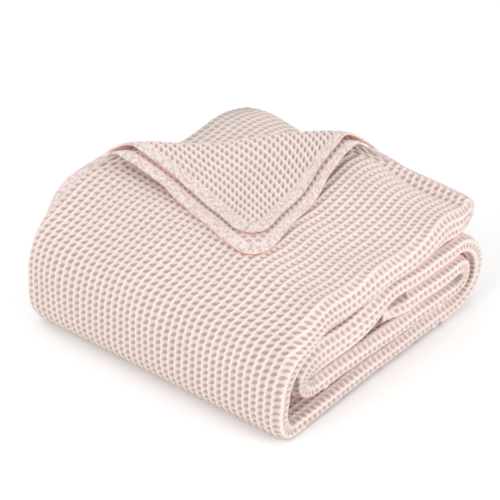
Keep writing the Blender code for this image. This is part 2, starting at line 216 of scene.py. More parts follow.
def section_point(u, v):
    """Place of the point v along the cross-section at u."""
    u, v = np.asarray(u, float), np.asarray(v, float)
    edge, pr, pl = along("edge", u), along("ply_right", u), along("ply_left", u)
    x, level = np.zeros_like(u), np.zeros_like(u)
    drooping = smooth((u - DROOP_FROM) / (DROOP_TO - DROOP_FROM))
    sunk = np.zeros_like(u)
    sag = along("sag", u)
    lobe_reach = OUTER_LEVEL * LOBE_DEPTH * (pr - sag / 3)
    right = edge - CLOTH_THICKNESS / 2 - lobe_reach
    nested = right - np.maximum(NEST_GAP - lobe_reach + 0.5 * pr, 0.0)
    left_fold = along("fold", u) + CLOTH_THICKNESS / 2 + 0.5 * pl
    for k, (ply, run, turn) in enumerate(PLIES):
        v0, v1 = MARKS[k]
        first, last = k == 0, k == len(PLIES) - 1
        left = LEFT_EDGE + TUCK * drooping * last if first or last else left_fold
        far = nested if ply in (1, 2) else right        # plies 1 and 2 lie inside the side fold
        xa, xb = (left, far) if run > 0 else (far, left)
        m = (first | (v >= v0)) & (last | (v <= v1))
        x = np.where(m, xa + (xb - xa) * (v - v0) / (v1 - v0), x)
        level = np.where(m, ply - OUTER_LEVEL, level)
        if first:
            side, fall = droop((v - v0) / (v1 - v0) * (right - left), right - left)
            x = np.where(m, x + (left + side - x) * drooping, x)
            sunk = np.where(m, fall * drooping, sunk)
        if turn:
            end, following = MARKS[k + 1][0], PLIES[k + 1][0]
            m = (v > v1) & (v < end)
            f = np.clip((v - v1) / (end - v1), 0.0, 1.0)
            mid, half = (ply + following) / 2 - OUTER_LEVEL, (ply - following) / 2
            if turn > 1:
                out, drop = np.interp(f, LOBE[0], LOBE[1]), np.interp(f, LOBE[0], LOBE[2])
                reach = LOBE_DEPTH * 0.5 * turn * (pr - sag / 3)
            else:
                out, drop = np.sin(f * math.pi), np.cos(f * math.pi)
                reach = 0.5 * turn * (pr if run > 0 else pl)
            x = np.where(m, xb + run * reach * out, x)
            level = np.where(m, mid + half * drop, level)
    across = smooth((x - LEFT_EDGE) / (right - LEFT_EDGE))
    sag = sag * smooth((x - SAG_FROM) / (right - SAG_FROM))
    spacing = pl + (pr - pl) * across - sag / 3
    offset = OUTER_LEVEL * pr - (OUTER_LEVEL - level) * spacing - sag - sunk
    beyond = np.minimum(u, 0.0)
    out_y, out_z = along("out_y", u), along("out_z", u)
    return np.stack((x, along("y", u) + out_y * offset - out_z * beyond,
                     along("z", u) + out_z * offset + out_y * beyond), axis=-1)


# %% Even the cloth out along each section
def even_table(rows=300, columns=2600):
    """Where the cloth lies along each section, so that it is stretched nowhere."""
    u, v = np.linspace(0.0, FLAT_LENGTH, rows), np.linspace(0.0, FLAT_WIDTH, columns)
    points = section_point(np.repeat(u[:, None], columns, 1), np.repeat(v[None, :], rows, 0))
    steps = np.linalg.norm(np.diff(points, axis=1), axis=2)
    table = np.empty((rows, columns))
    for k in range(rows):
        length = np.concatenate(((0.0,), np.cumsum(steps[k])))
        table[k] = np.interp(v, length * FLAT_WIDTH / length[-1], v)
    sums = steps.sum(axis=1)
    print("section length: %.3f to %.3f m" % (sums.min(), sums.max()))
    return table


EVEN = even_table()


def even(u, v):
    """The place v of the evened cloth, read from the table between its rows and columns."""
    rows, columns = EVEN.shape
    i = np.clip(u / FLAT_LENGTH, 0.0, 1.0) * (rows - 1)
    j = np.clip(v / FLAT_WIDTH, 0.0, 1.0) * (columns - 1)
    i0, j0 = np.minimum(i.astype(int), rows - 2), np.minimum(j.astype(int), columns - 2)
    fi, fj = i - i0, j - j0
    low = EVEN[i0, j0] * (1 - fj) + EVEN[i0, j0 + 1] * fj
    high = EVEN[i0 + 1, j0] * (1 - fj) + EVEN[i0 + 1, j0 + 1] * fj
    return low * (1 - fi) + high * fi + (v - np.clip(v, 0.0, FLAT_WIDTH))


def band_point(u, v):
    """Place of the flat point (v, u) in the wound band."""
    u, v = np.asarray(u, float), np.asarray(v, float)
    return section_point(u, even(u, v))


print("cloth width through the quarter fold: %.3f m" % FLAT_WIDTH)

# %% [markdown]
# ## Swells
#
# A folded stack is never a neat box. Loose air lifts the top leg at the back and
# under the peeled corner, and the sides wander by about a millimetre. The swells
# are soft bumps that fade to nothing towards the bottom, so the blanket still lies
# flat on its surface.

# %% Soft rises of the stack
# All in mm; a swell comes in between the heights low and high.
SWELLS = (
    # name               x      y   height  spread_x  spread_y   low   high
    ("back rise",      -99.0, 138.0,  28.0,    72.0,     64.0,  15.0, 125.0),
    ("rear ridge",      40.0, 120.0,   3.0,    60.0,     40.0,  80.0, 125.0),
    ("back shoulder", -150.0,  84.0,   8.0,    34.0,     26.0,  80.0, 125.0),
    ("hem side rise", -145.0, -25.0,  10.0,    36.0,     40.0,  80.0, 125.0),
    ("rear lip",       106.0, 145.0,  10.0,    32.0,      7.0,  95.0, 120.0),
    ("rear valley",    104.0, 127.0,  -6.0,    44.0,      6.0, 100.0, 125.0),
)
FOOTPRINT_MIDDLE = (2.0 * MM, 0.2 * MM)
WANDER = 0.7 * MM
WANDER_FROM, WANDER_OVER = 14.0 * MM, 40.0 * MM     # none at the bottom, whole above
RIPPLES = (
    # axis  other axes  a long and a short wave: radians a metre along each, phase
    (0,     (1, 2),     ((61.0, 35.0, 0.6), (108.0, -60.0, 2.1))),
    (1,     (0, 2),     ((57.0, 41.0, 1.9), (101.0, 57.0, 0.3))),
    (2,     (0, 1),     ((49.0, 38.0, 1.2), (83.0, -71.0, 0.5))),
)


def settle(points):
    """Add the swells and the wander, and set the stack over the middle of its box."""
    x, y, z = points[..., 0], points[..., 1], points[..., 2]
    lift = np.zeros_like(x)
    for name, cx, cy, height, wide, deep, low, high in SWELLS:
        lift = lift + (height * MM * smooth((z / MM - low) / (high - low))
                       * np.exp(-((x / MM - cx) / wide) ** 2 / 2 - ((y / MM - cy) / deep) ** 2 / 2))
    free = WANDER * smooth((z - WANDER_FROM) / WANDER_OVER)
    shift = (-FOOTPRINT_MIDDLE[0], -FOOTPRINT_MIDDLE[1], lift)
    out = points.copy()
    for axis, others, waves in RIPPLES:
        one, two = (points[..., k] for k in others)
        long_wave, short_wave = (np.sin(one * p + two * q + phase) for p, q, phase in waves)
        out[..., axis] = points[..., axis] + shift[axis] + free * (long_wave + 0.5 * short_wave)
    return out


# %% [markdown]
# ## The peeled corner
#
# The corner of the first and second ply is turned forward over a diagonal fold.
# Across the fold the cloth rolls over, comes down a gentle slope and lies flat at
# its tip. The outer ply of the roll needs more length, so the hem of the inner ply
# ends up further forward, and both hems show one behind the other.

# %% Section of the roll and the flap
CORNER_LEG = 246.0 * MM          # from the corner to the fold, along each hem
ROLL_RADIUS = 8.0 * MM           # inner ply of the roll
ROLL_PLY = 6.5 * MM              # distance between the two plies in the roll
FLAP_SLOPE = 80.0 * MM           # run over which it comes down from the roll
FLAP_REST = 4.8 * MM             # height of the tip above the cloth below
FLAP_PLY = 4.6 * MM              # distance between the two plies at the tip
FLAP_STRETCH = 1.15              # the corner is drawn out towards its tip ...
ROLL_NARROW = 0.86               # ... and narrows across, in the roll
ROLL_NARROW_REAR = 0.74          # the same at the rear end of the roll
FLAP_NARROW = 0.90               # and again on the slope ...
FLAP_NARROW_OVER = 50.0 * MM     # ... over this much of it
FLAP_SWAY = -10.0 * MM           # sideways lean of the tip, towards the hem side
FLAP_LONGEST = 0.20              # metres of cloth past the fold that are worked out


def flap_curve(samples=900):
    """Course of the turned cloth square to the fold, by the length d past it."""
    d = np.linspace(0.0, FLAP_LONGEST, samples)
    step = d[1] - d[0]
    roll = ROLL_RADIUS * math.pi
    eased = smooth((d - roll) / FLAP_SLOPE)
    drop = (2.0 * ROLL_RADIUS - FLAP_REST) * np.gradient(eased, step)
    turn = np.where(d < roll, d / ROLL_RADIUS, math.pi + np.arcsin(drop))
    mid = 0.5 * (turn[1:] + turn[:-1])
    zero = (0.0,)
    return {"inner": d, "turn": turn, "eased": eased,
            "ahead": np.concatenate((zero, np.cumsum(-np.cos(mid) * step))),
            "up": np.concatenate((zero, np.cumsum(np.sin(mid) * step))),
            "outer": np.concatenate((zero, np.cumsum(step + ROLL_PLY * np.diff(turn))))}


FLAP = flap_curve()


def place(u, v):
    """Place of the flat points (v, u), with the corner peeled back."""
    u, v = np.asarray(u, float), np.asarray(v, float)
    plain = band_point(u, v)
    # a, u: distances from the corner's two hems; d: length past the diagonal fold
    lower = v > FLAT_WIDTH / 2
    a = np.where(lower, FLAT_WIDTH - v, v)
    d = (CORNER_LEG - a - u) / math.sqrt(2.0)
    peeled = d > 1e-7
    d = np.where(peeled, d, 0.0)
    inner = np.where(lower, np.interp(d, FLAP["outer"], FLAP["inner"]), d)
    ahead, up, turn, eased = (np.interp(inner, FLAP["inner"], FLAP[k])
                              for k in ("ahead", "up", "turn", "eased"))
    ahead = np.where(ahead > 0.0, ahead * FLAP_STRETCH, ahead)
    narrow = ROLL_NARROW + (ROLL_NARROW_REAR - ROLL_NARROW) * smooth((a - u) / CORNER_LEG)
    side = (a - u) / 2.0 * (1.0 - (1.0 - narrow) * smooth(turn / math.pi))
    side = side * (1.0 - (1.0 - FLAP_NARROW) * smooth(ahead / FLAP_NARROW_OVER))
    tipwards = np.clip(ahead / CORNER_LEG * 2.0, 0.0, 1.0)
    side = side + FLAP_SWAY / math.sqrt(2.0) * tipwards ** 1.5
    # foot: the point's own place on the fold line; on_top: the stack right below the flap
    foot_a, foot_u = CORNER_LEG / 2.0 + side, CORNER_LEG / 2.0 - side
    on_top = band_point(foot_u + ahead / math.sqrt(2.0), foot_a + ahead / math.sqrt(2.0))
    under = band_point(foot_u, FLAT_WIDTH - foot_a) - band_point(foot_u, foot_a)
    # the lower ply of the pair stays beside the upper one, square to the turned cloth
    gap = np.maximum(np.linalg.norm(under, axis=-1), 1e-6)
    upright = -under / gap[..., None]
    gap = gap + (ROLL_PLY - gap) * smooth(turn / math.pi)
    gap = gap + (FLAP_PLY - ROLL_PLY) * eased
    gap = np.where(lower, gap, 0.0)
    point = on_top.copy()
    point[..., 0] -= gap * np.sin(turn) / math.sqrt(2.0)
    point[..., 1] += gap * np.sin(turn) / math.sqrt(2.0)
    point[..., 2] += up
    point -= upright * (gap * np.cos(turn))[..., None]
    return settle(np.where(peeled[..., None], point, plain))


tip = place(np.array([0.0, 0.0]), np.array([0.0, FLAT_WIDTH]))
print("hem corners of the peeled plies (mm):", (tip / MM).round(0).tolist())

# %% [markdown]
# ## The flat cloth
#
# The cloth starts as a flat closed sheet: an upper and a lower face and a thin rim.
# Grid lines follow the weave. The hem gets its own narrow columns, and everything
# else is laid out in blocks of four by four waffle cells. Each pass halves the blocks
# that need it, along the cloth, across it, or both. What is seen goes down to four
# strips a cell: floor, slope, rib, slope. What lies deep inside the stack is only cut
# where it bends, which saves most of the triangles.

# %% Sizes of the weave and the hem
HEM = 12.4 * MM
HEM_LINES = tuple(q * MM for q in (0.0, 0.9, 5.8, 10.2, 12.4))     # from the rim inwards
BLOCK = 4                        # waffle cells along each side of an uncut block
USUAL_CELL_WIDE, USUAL_CELL_LONG = 7.95 * MM, 7.1 * MM
CELLS_WIDE = int(round((FLAT_WIDTH - 2 * HEM) / USUAL_CELL_WIDE / BLOCK)) * BLOCK
CELLS_LONG = int(round((FLAT_LENGTH - 2 * HEM) / USUAL_CELL_LONG / BLOCK)) * BLOCK
CELL_WIDE = (FLAT_WIDTH - 2 * HEM) / CELLS_WIDE
CELL_LONG = (FLAT_LENGTH - 2 * HEM) / CELLS_LONG
print("waffle: %d x %d cells of %.2f x %.2f mm" % (CELLS_WIDE, CELLS_LONG,
                                                  CELL_WIDE / MM, CELL_LONG / MM))


def lines(total, cells, cell):
    """Grid lines from hem to hem: the hem's own lines, and one for each block."""
    first = list(HEM_LINES)
    middle = [HEM + BLOCK * cell * k for k in range(1, cells // BLOCK)]
    return np.array(first + middle + [total - q for q in reversed(HEM_LINES)])


COLUMNS = lines(FLAT_WIDTH, CELLS_WIDE, CELL_WIDE)
ROWS = lines(FLAT_LENGTH, CELLS_LONG, CELL_LONG)

# %% How finely each place of the cloth is cut
# Halvings of a block along the cloth (lu) and across it (lv): 2 is one cell, 4 a
# quarter of a cell.
U = BAND["starts"]
NEAR = 14.0 * MM                 # how far past a bend its finer cut goes on
BENDS = (
    # from            to             lu
    ("top end",       "top rear",     1),
    ("wrap shoulder", "wrap foot",    1),
    ("bottom rear",   "second rear",  2),
    ("second front",  "fourth front", 2),
    ("fourth rear",   "third rear",   3),
)
SIDE_PITS = (
    # from          to         mm before the side fold, mm past it
    ("top end",     "third end",     6.0,  1.0),
    ("back turn",   "second front", 20.0,  0.0),
    ("small turn",  "third middle", 26.0,  0.0),
    ("bottom rear", "second rear",   0.0, 20.0),
)


def detail(u, v, upper):
    """Halvings wanted at the middles (v, u) of faces of the upper or the lower side."""
    a = np.where(v > FLAT_WIDTH / 2, FLAT_WIDTH - v, v)
    d = (CORNER_LEG - a - u) / math.sqrt(2.0)
    v = even(u, v)
    # row: the row of PLIES that the place lies in, counted from 0
    row = np.searchsorted([start for start, end in MARKS], v, side="right") - 1
    lu, lv = np.zeros(len(u), int), np.zeros(len(u), int)

    def need(where, along, across):
        lu[where] = np.maximum(lu[where], along)
        lv[where] = np.maximum(lv[where], across)

    for first, last, along in BENDS:
        need((u > U[first] - NEAR) & (u < U[last] + NEAR), along, 0)
    folds = [(v > MARKS[k][1] - NEAR / 2) & (v < MARKS[k + 1][0] + NEAR / 2) for k in range(3)]
    for fold in folds:
        need(fold, 1, 3)
    flap = (row == 0) | (row == 3)
    need(flap & (d > -15 * MM) & (d < 60 * MM), 3, 3)               # the roll
    need(flap & (d > 0), 1, 1)
    need((row == 0) & (a < 34 * MM), 1, 2)                          # the drooping hem
    need((row == 0) & (u < U["top rear"] + 2 * NEAR), 3, 1)
    need((a < 36 * MM) & (u < 36 * MM), 3, 3)                       # the round corners
    need((a < HEM) & (u < U["second rear"]), 2, 0)
    need(u < HEM, 0, 2)
    if upper:
        need((row == 0) & (u > U["bottom rear"]) & (u < U["second rear"]), 3, 3)
        need(folds[1], 3, 3)
        seen = (row == 0) & (u < U["wrap foot"]) & (d < 26 * MM)
        seen |= (row == 3) & (d > -2 * MM)
        seen |= (row == 2) & (d > -30 * MM)
        for start, end, before, past in SIDE_PITS:
            seen |= ((u > U[start]) & (u < U[end]) & (v > MARKS[0][1] - before * MM)
                     & (v < MARKS[1][0] + past * MM))
        need(seen & (a > HEM) & (u > HEM), 4, 4)
    return lu, lv


# %% Cut the flat sheet
# Two copies of one grid, joined round the rim, and halved where detail() asks for it.
bm = bmesh.new()
bmesh.ops.create_grid(bm, x_segments=len(COLUMNS) - 1, y_segments=len(ROWS) - 1, size=0.5)
for vert in bm.verts:
    i = int(round((vert.co.x + 0.5) * (len(COLUMNS) - 1)))
    j = int(round((vert.co.y + 0.5) * (len(ROWS) - 1)))
    vert.co = (COLUMNS[i], ROWS[j], 1.0)
under = bmesh.ops.duplicate(bm, geom=bm.verts[:] + bm.edges[:] + bm.faces[:])
low = [g for g in under["geom"] if isinstance(g, bmesh.types.BMVert)]
for vert in low:
    vert.co.z = -1.0
bmesh.ops.reverse_faces(bm, faces=[g for g in under["geom"] if isinstance(g, bmesh.types.BMFace)])
bmesh.ops.bridge_loops(bm, edges=[e for e in bm.edges if e.is_boundary])
for halving in (1, 2, 3, 4):
    faces = [f for f in bm.faces if len({round(q.co.z) for q in f.verts}) == 1]
    centre = np.array([f.calc_center_median()[:] for f in faces])
    wanted = np.zeros((len(faces), 2), int)
    for upper in (True, False):
        m = (centre[:, 2] > 0) == upper
        wanted[m] = np.column_stack(detail(centre[m, 1], centre[m, 0], upper))
    edges = set()
    for face, (lu, lv) in zip(faces, wanted):
        for edge in face.edges:
            run = edge.verts[1].co - edge.verts[0].co
            if (lu if abs(run.y) > abs(run.x) else lv) >= halving:
                edges.add(edge)
    bmesh.ops.subdivide_edges(bm, edges=list(edges), cuts=1, use_grid_fill=True)
    print("halving %d: %d edges cut, %d faces" % (halving, len(edges), len(bm.faces)))

# %% [markdown]
# ## From the flat cloth to the folded one
#
# Four small corrections come before the fold. The grid lines shift so that two of
# them border each rib and two border each floor: that gives a waffle its crisp
# square pits. The four corners are rounded, because a hem turned twice cannot be
# sharp there. The outline wanders by under a millimetre, as a sewn edge does, and
# the long ribs swing a little from side to side within each cell.
#
# The outward direction is worked out from the fold itself, by taking a small step
# along the length and one across. Each side of the cloth then moves out by half the
# thickness. The hem is thicker than its rim and dips at the seam.

# %% Shift, round and wander
RIB_SHARE = 0.30                 # rib top, as a share of one cell
FLOOR_SHARE = 0.36               # pit floor, the same
CORNER_ROUND = 32.0 * MM         # radius of the cloth's four corners
EDGE_WANDER = 0.2 * MM
EDGE_BAND = 20.0 * MM            # how far in from the edge the wander reaches
LONG_HEM_WAVES = ((170, 1), (391, 2))     # radians a metre and phase of each wave
SHORT_HEM_WAVES = ((160, 3), (402, 1))
LEAN = 0.5 * MM                  # sideways swing of the ribs within one cell


def waffle_lines(q, total, cell, fine):
    """Shift quarter-cell grid lines to the borders of ribs and floors."""
    n = (q - HEM) / cell
    whole = np.floor(n + 1e-3)
    rib, floor_half = RIB_SHARE / 2, FLOOR_SHARE / 2
    shifted = np.interp(n - whole, (0.0, 0.25, 0.5, 0.75, 1.0),
                        (-rib, rib, 0.5 - floor_half, 0.5 + floor_half, 1.0 - rib))
    inside = (q > HEM - 1e-6) & (q < total - HEM - 1e-6)
    return np.where(inside & fine, HEM + (whole + shifted) * cell, q)


def round_corners(v, u):
    """Draw the square corners of the grid in to round ones."""
    for far_v in (False, True):
        for far_u in (False, True):
            a = (FLAT_WIDTH - v) if far_v else v
            b = (FLAT_LENGTH - u) if far_u else u
            p, q = CORNER_ROUND - a, CORNER_ROUND - b
            m = (p > 0) & (q > 0)
            size = np.maximum(np.hypot(p, q), 1e-9)
            scale = np.where(m, np.maximum(p, q) / size, 1.0)
            a = np.where(m, CORNER_ROUND - p * scale, a)
            b = np.where(m, CORNER_ROUND - q * scale, b)
            v = (FLAT_WIDTH - a) if far_v else a
            u = (FLAT_LENGTH - b) if far_u else b
    return v, u


def edge_wave(run, waves):
    """A wave and a weaker, shorter one along an edge."""
    first, second = (np.sin(run * pace + phase) for pace, phase in waves)
    return first + 0.6 * second


def wander(v, u):
    """Let the edges run slightly in and out."""
    near_v = np.exp(-(np.minimum(v, FLAT_WIDTH - v) / EDGE_BAND) ** 2)
    near_u = np.exp(-(np.minimum(u, FLAT_LENGTH - u) / EDGE_BAND) ** 2)
    dv = EDGE_WANDER * near_v * edge_wave(u, LONG_HEM_WAVES)
    du = EDGE_WANDER * near_u * edge_wave(v, SHORT_HEM_WAVES)
    return v + dv, u + du


def outward(v, u, step=0.8 * MM):
    """Outward direction of the cloth's upper side at the flat points (v, u)."""
    along_u = place(u + step, v) - place(u - step, v)
    along_v = place(u, v + step) - place(u, v - step)
    n = np.cross(along_u, along_v)
    return n / np.maximum(np.linalg.norm(n, axis=1), 1e-12)[:, None]


# %% Fold the sheet
AREA_SLACK = 1.3                 # a face may be this much above its share of a cell
RELIEF_LEAD = 1.4 * MM           # the pits begin this far short of the hem's inner line ...
RELIEF_RISE = 0.4 * MM           # ... and are whole after this much more
HEM_HALF = tuple(q * MM for q in (0.8, 1.4, 1.55, 1.5, 1.2))     # half thickness at HEM_LINES
bm.verts.ensure_lookup_table()
flat = np.array([vert.co[:] for vert in bm.verts])
largest = np.zeros(len(flat))
for face in bm.faces:
    area = face.calc_area()
    for vert in face.verts:
        largest[vert.index] = max(largest[vert.index], area)
cell_area = CELL_WIDE * CELL_LONG
fine, woven = (largest < AREA_SLACK / faces_a_cell * cell_area for faces_a_cell in (16, 4))
v = waffle_lines(flat[:, 0], FLAT_WIDTH, CELL_WIDE, fine)
u = waffle_lines(flat[:, 1], FLAT_LENGTH, CELL_LONG, fine)
v, u = round_corners(v, u)
short_v = np.maximum(CORNER_ROUND - np.minimum(v, FLAT_WIDTH - v), 0.0)
short_u = np.maximum(CORNER_ROUND - np.minimum(u, FLAT_LENGTH - u), 0.0)
edge = CORNER_ROUND - np.hypot(short_v, short_u)
field = smooth((edge - HEM + RELIEF_LEAD) / RELIEF_RISE)
cells = np.stack(((v - HEM) / CELL_WIDE, (u - HEM) / CELL_LONG), axis=1)
v, u = wander(v, u)
uv = np.column_stack((v, u))
v = v + LEAN * field * np.sin(2 * math.pi * cells[:, 1])
side = np.sign(flat[:, 2])
half = np.interp(edge, HEM_LINES + (HEM + 3 * MM,), HEM_HALF + (CLOTH_THICKNESS / 2,))
middle = place(u, v)
normal = outward(v, u) * side[:, None]
print("cloth points: %d, in whole pits: %d, in simple pits: %d"
      % (len(middle), fine.sum(), woven.sum() - fine.sum()))

blanket_mesh = bpy.data.meshes.new("blanket")
bmesh.ops.reverse_faces(bm, faces=bm.faces[:])
bm.to_mesh(blanket_mesh)
bm.free()
blanket_mesh.vertices.foreach_set("co", middle.astype(np.float32).ravel())
bend = (smooth((u - U["top middle"]) / (U["wrap front"] - U["top middle"]))
        * (1.0 - smooth((u - U["wrap lower"]) / (U["bottom middle"] - U["wrap lower"]))))
pits_shown = field * woven * (side > 0)
for name, kind, values in (("cells", "FLOAT_VECTOR", np.column_stack((cells, pits_shown))),
                           ("open", "FLOAT", bend),
                           ("outward", "FLOAT_VECTOR", normal),
                           ("half", "FLOAT", half)):
    layer = blanket_mesh.attributes.new(name, kind, "POINT")
    layer.data.foreach_set("vector" if kind == "FLOAT_VECTOR" else "value",
                           values.astype(np.float32).ravel())
corner = np.zeros(len(blanket_mesh.loops), np.int32)
blanket_mesh.loops.foreach_get("vertex_index", corner)
uv_layer = blanket_mesh.uv_layers.new(name="cloth")
uv_layer.data.foreach_set("uv", uv[corner].astype(np.float32).ravel())
blanket = bpy.data.objects.new("woven_blanket", blanket_mesh)
bpy.context.scene.collection.objects.link(blanket)

# %% [markdown]
# ## Node maths in plain Python
#
# A node tree is easier to read as a sum than as a list of links. One class wraps a
# socket so that Python's own signs add the Math nodes, and one method adds any other
# node: its type, its settings, then the values or wires of its sockets. Short methods
# beside it name the nodes that come up again and again. The same two classes serve
# the geometry trees and the shader trees.

# %% Wires and webs
class Wire:
    """A node's output that can be used in sums."""

    def __init__(self, web, socket):
        self.web, self.socket = web, socket

    def maths(self, operation, *terms):
        return self.web.add("ShaderNodeMath", {"operation": operation}, dict(enumerate(terms)))

    def __add__(self, other):
        return self.maths("ADD", self, other)

    def __radd__(self, other):
        return self.maths("ADD", other, self)

    def __sub__(self, other):
        return self.maths("SUBTRACT", self, other)

    def __rsub__(self, other):
        return self.maths("SUBTRACT", other, self)

    def __mul__(self, other):
        return self.maths("MULTIPLY", self, other)

    def __rmul__(self, other):
        return self.maths("MULTIPLY", other, self)

    def __truediv__(self, other):
        return self.maths("DIVIDE", self, other)

    def least(self, other):
        return self.maths("MINIMUM", self, other)

    def most(self, other):
        return self.maths("MAXIMUM", self, other)

    def root(self):
        return self.maths("SQRT", self)

    def sine(self):
        return self.maths("SINE", self)

    def size(self):
        return self.maths("ABSOLUTE", self)

    def fraction(self):
        return self.maths("FRACT", self)

    def off_middle(self):
        """0 on whole numbers, 0.5 half-way between them."""
        return self.maths("PINGPONG", self, 0.5)

    def rise(self, low, high):
        """0 below low, 1 above high, smooth between."""
        return self.web.add("ShaderNodeMapRange", {"interpolation_type": "SMOOTHSTEP"},
                            {"Value": self, "From Min": low, "From Max": high})


class Web:
    """A node tree that is filled one call at a time."""

    def __init__(self, tree):
        self.tree = tree
        tree.nodes.clear()

    def add(self, kind, settings=None, sockets=None, out=0):
        """Add a node, fill its sockets with values or wires, and return one output."""
        node = self.tree.nodes.new(kind)
        for key, value in (settings or {}).items():
            setattr(node, key, value)
        for key, value in (sockets or {}).items():
            if isinstance(value, Wire):
                self.tree.links.new(value.socket, node.inputs[key])
            else:
                node.inputs[key].default_value = value
        return Wire(self, node.outputs[out]) if len(node.outputs) else None

    def blend(self, share, colour, other):
        """Mix two colours: all the first where share is 0, all the other where it is 1."""
        return self.add("ShaderNodeMix", {"data_type": "RGBA"},
                        {0: share, 6: colour, 7: other}, out=2)

    def split(self, vector):
        """The x, y and z of a vector."""
        x = self.add("ShaderNodeSeparateXYZ", None, {0: vector})
        return [Wire(self, socket) for socket in x.socket.node.outputs]

    def stored(self, name):
        """A number that the mesh carries, for a material."""
        return self.add("ShaderNodeAttribute", {"attribute_name": name}, out=2)

    def named(self, name, kind="FLOAT"):
        """What the mesh carries under a name, for a geometry tree."""
        return self.add("GeometryNodeInputNamedAttribute", {"data_type": kind}, {"Name": name})


def geometry_tree(name, sizes):
    """An empty geometry tree with named inputs; returns its web and its inputs."""
    tree = bpy.data.node_groups.new(name, "GeometryNodeTree")
    tree.interface.new_socket("Geometry", in_out="INPUT", socket_type="NodeSocketGeometry")
    tree.interface.new_socket("Geometry", in_out="OUTPUT", socket_type="NodeSocketGeometry")
    for label, kind in sizes:
        tree.interface.new_socket(label, in_out="INPUT", socket_type=kind)
    web = Web(tree)
    source = tree.nodes.new("NodeGroupInput")
    return web, {q.name: Wire(web, q) for q in source.outputs if q.name}


def apply_tree(piece, tree, values):
    """Run a geometry tree on a piece and keep the result as its plain mesh."""
    modifier = piece.modifiers.new(tree.name, "NODES")
    modifier.node_group = tree
    for item in tree.interface.items_tree:
        if item.in_out == "INPUT" and item.name in values:
            modifier[item.identifier] = values[item.name]
    bpy.context.view_layer.update()
    made = bpy.data.meshes.new_from_object(
        piece.evaluated_get(bpy.context.evaluated_depsgraph_get()))
    piece.modifiers.remove(modifier)
    made.name = piece.name
    piece.data = made
    made.calc_loop_triangles()
    print("%s: %d triangles" % (piece.name, len(made.loop_triangles)))


# %% [markdown]
# ## The cotton
#
# Up close, a waffle weave is long floats of thread that stand up round a square pit.
# The threads catch the light, and the pits look darker and warmer, because the light
# in them has bounced off blush cotton a few times; that shade is painted into the colour
# of the pits and of the channels between long ribs, more of it on the bends. The colour
# follows the flat cloth (its UV map is in metres), so it turns with every fold. Threads
# are a fine bump.
# Where a hidden part of the cloth has no modelled pits, the bump draws them instead.
# The hem is turned twice: smoother, a little paler, with a fine twill of its own.

# %% Blush cotton
RIB_COLOUR = (0.900, 0.772, 0.720, 1.0)
# painted shade: the pits' colour stands in for the shade that falls in them
PAINTED_PIT_SHADE = (0.540, 0.410, 0.372, 1.0)
HEM_COLOUR = (0.825, 0.710, 0.680, 1.0)
HEM_SHADE = (0.630, 0.500, 0.450, 1.0)
PAINTED_NOOK_SHADE = (0.900, 0.600, 0.500, 1.0)
# painted light: colour of the faint emission given off in the nooks
PAINTED_NOOK_GLOW = (0.950, 0.480, 0.350, 1.0)
NOOK_FROM = 0.45                 # the painted shade and the painted light of a nook come in above this
THREAD = 0.62 * MM               # from one thread to the next
THREAD_HEIGHT = 0.05 * MM
PIT_WIDE, PIT_TALL, PIT_LEAN = 0.34, 0.36, 0.30     # as shares of one cell
PIT_BUMP = 1.6 * MM              # depth that the bump draws where no pit is modelled
RIB_FOOT = (0.22, 0.42)          # shares of a cell between which a rib begins to show
PIT_RIM = (0.25, 1.35)           # squared distances over which a pit fades out
CHANNEL_SHADE = 0.28                   # painted shade in the channel between two long ribs
HEM_ROW = 2.6 * MM               # from one faint row of the hem to the next


